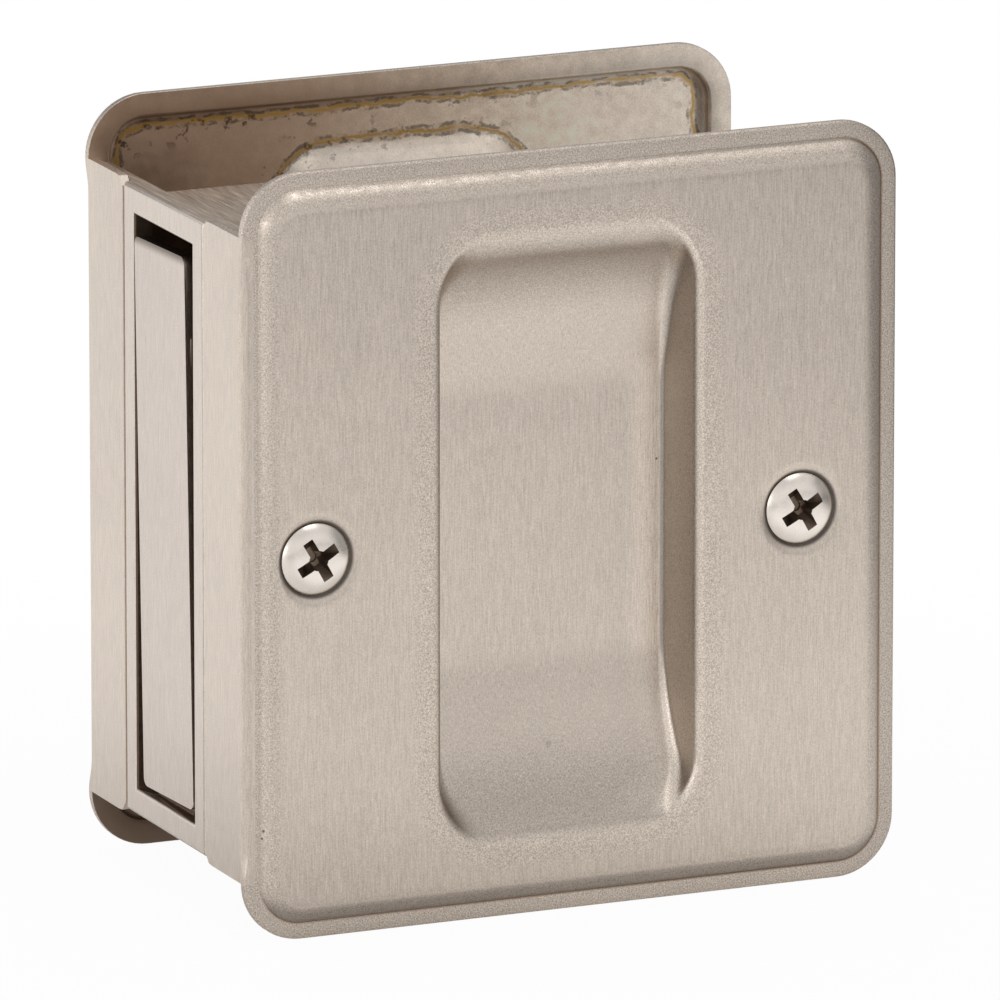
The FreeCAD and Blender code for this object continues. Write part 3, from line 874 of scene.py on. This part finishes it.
def finish(node, *materials, soft=SOFT_EDGE):
    """Gives a solid its materials, softens its edges and returns its mesh."""
    weld_reach, sharpest = 0.001, 50
    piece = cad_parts[node]
    piece.data.materials.clear()
    for made in materials:
        piece.data.materials.append(made)
    weld = piece.modifiers.new("weld", "WELD")
    weld.merge_threshold = weld_reach * MM
    bevel = piece.modifiers.new("soft_edges", "BEVEL")
    bevel.width = soft * MM
    bevel.segments = 2
    bevel.limit_method = "ANGLE"
    bevel.angle_limit = math.radians(sharpest)
    return piece.data


finish("edge_pull", pull_metal)
finish("pull_pin", pin_metal)
finish("threaded_posts", post_metal)


def finish_case():
    """Finishes the case, with its inside painted dark as shade and a duller top."""
    strip_front, room, level = 0.5, 0.1, 0.9
    mesh = finish("edge_case", case_metal, case_top_metal, case_inside_shade_metal, soft=CASE_EDGE)
    for face in mesh.polygons:
        x, y, z = face.center / MM
        in_box = EDGE_X + strip_front < x < BOX_BACK - room and abs(y) < HALF_INSIDE + room
        if in_box and OPENING_LOW - room < z < OPENING_HIGH + room:
            face.material_index = CASE_INSIDE
        else:
            face.material_index = CASE_TOP if face.normal.z > level else CASE


finish_case()


# Stage, light and camera, in metres, with directions in plan
AHEAD = (0.4, -0.9)
ASIDE = (1.0, 0.45)
FRONT_LEFT = (-0.8, -0.6)
AIM = Vector((0, 0, MIDDLE * MM))


def stage_material(name, white):
    """A pale floor: white to the camera with a faint shadow, in mirrors greyer to the right and ahead."""
    made, tree, shader = material(name)
    g = Graph(tree)
    shader.inputs["Base Color"].default_value = (white, white, white, 1.0)
    shader.inputs["Roughness"].default_value = 0.9
    light = g.node("ShaderNodeLightPath").outputs
    camera_ray = light["Is Camera Ray"]
    mirror_ray = g.most(light["Is Glossy Ray"], light["Is Transmission Ray"])
    spot = g.node("ShaderNodeTexCoord").outputs["Object"]
    axes = g.axes(spot)
    away = g.node("ShaderNodeVectorMath", {0: spot}, operation="LENGTH").outputs["Value"]
    ahead = g.ease(g.along(axes, AHEAD), 0.04, 0.45, 1.0, 0.45)
    aside = g.ease(g.along(axes, ASIDE), 0.05, 0.17, 1.0, 0.3)
    front_left = g.ease(g.math("DIVIDE", g.along(axes, FRONT_LEFT), away), 0.7, 0.95, 1.0, 0.77)
    strength = g.most(g.times(ahead, aside, front_left), camera_ray)
    glow = g.node("ShaderNodeEmission", {"Color": (1.0, 1.0, 1.0, 1.0), "Strength": strength})
    camera_share = g.times(camera_ray, g.ease(away, 0.05, 0.14, 0.96, 1.0))
    mirror_share = g.times(mirror_ray, g.ease(away, 0.03, 0.10, 0.2, 0.92))
    shares = g.plus(camera_share, mirror_share)
    mixed = g.node("ShaderNodeMixShader", {0: shares, 1: shader.outputs[0], 2: glow.outputs[0]})
    g.put(tree.nodes["Material Output"].inputs["Surface"], mixed.outputs[0])
    return made


def make_floor():
    """A floor that curves up into a backdrop far behind."""
    half, depth, bend, height, segments = 3000.0, 2600.0, 900.0, 2600.0, 12
    profile = [(-depth, 0.0), (depth - bend, 0.0)]
    for angle in (math.pi / 2 * t for t in steps(segments, 1)):
        profile.append((depth - bend + bend * math.sin(angle), bend * (1 - math.cos(angle))))
    profile.append((depth, height))
    vertices = [(x, y, z) for y, z in profile for x in (-half, half)]
    faces = [(2 * i, 2 * i + 1, 2 * i + 3, 2 * i + 2) for i in range(len(profile) - 1)]
    piece = new_object("floor", vertices, faces, None, (stage_material("pale_floor", 0.9),))
    smooth(piece, 60.0)


make_floor()


def make_world():
    """A plain grey studio, lightest to the back left and darker to the right, white to the camera."""
    world = bpy.data.worlds.new("studio")
    bpy.context.scene.world = world
    world.use_nodes = True
    g = Graph(world.node_tree)
    axes = g.axes(g.node("ShaderNodeTexCoord").outputs["Generated"])
    aside = g.plus(g.along(axes, ASIDE), g.ease(axes["Z"], 0.3, 0.8, 0.0, -0.5))
    aside = g.ease(aside, 0.1, 0.7, 1.0, 0.35)
    ahead = g.ease(g.times(axes["Y"], -1.0), -0.2, 0.9, 1.0, 0.78)
    overhead = g.ease(axes["Z"], 0.25, 0.8, 1.0, 0.7)
    camera_ray = g.node("ShaderNodeLightPath").outputs["Is Camera Ray"]
    seen = g.mix(camera_ray, g.grey(g.times(aside, ahead, overhead)), (1.0, 1.0, 1.0, 1.0))
    background = world.node_tree.nodes["Background"]
    g.put(background.inputs["Color"], seen)
    background.inputs["Strength"].default_value = 1.0


make_world()


def soft_light(name, place, size, power):
    """A square soft light that looks at the object."""
    lamp = bpy.data.lights.new(name, "AREA")
    lamp.size = size
    lamp.energy = power
    made = bpy.data.objects.new(name, lamp)
    bpy.context.scene.collection.objects.link(made)
    made.location = place
    made.rotation_mode = "QUATERNION"
    made.rotation_quaternion = (AIM - Vector(place)).to_track_quat("-Z", "Y")


soft_light("key", place=(-1.0, -0.62, 0.24), size=0.45, power=0.5)
soft_light("top", place=(0.15, -0.45, 1.0), size=0.5, power=0.8)
soft_light("back", place=(0.45, 0.7, 0.85), size=0.5, power=0.6)


def make_camera(azimuth, elevation, distance):
    """A long lens at the photograph's viewing angle; the shift sets the object in the frame."""
    level = math.cos(elevation)
    back_way = Vector((-math.sin(azimuth) * level, -math.cos(azimuth) * level, math.sin(elevation)))
    lens = bpy.data.cameras.new("camera")
    lens.lens = 586.4
    lens.sensor_width = 36.0
    lens.shift_x = 0.0106
    lens.shift_y = -0.0151
    lens.clip_start = 0.05
    lens.clip_end = 20.0
    camera = bpy.data.objects.new("camera", lens)
    bpy.context.scene.collection.objects.link(camera)
    camera.location = AIM + back_way * distance
    camera.rotation_mode = "QUATERNION"
    camera.rotation_quaternion = (-back_way).to_track_quat("-Z", "Y")
    bpy.context.scene.camera = camera


make_camera(azimuth=math.radians(23.618), elevation=math.radians(13.774), distance=1.4675)
bpy.context.scene.view_settings.view_transform = "Standard"
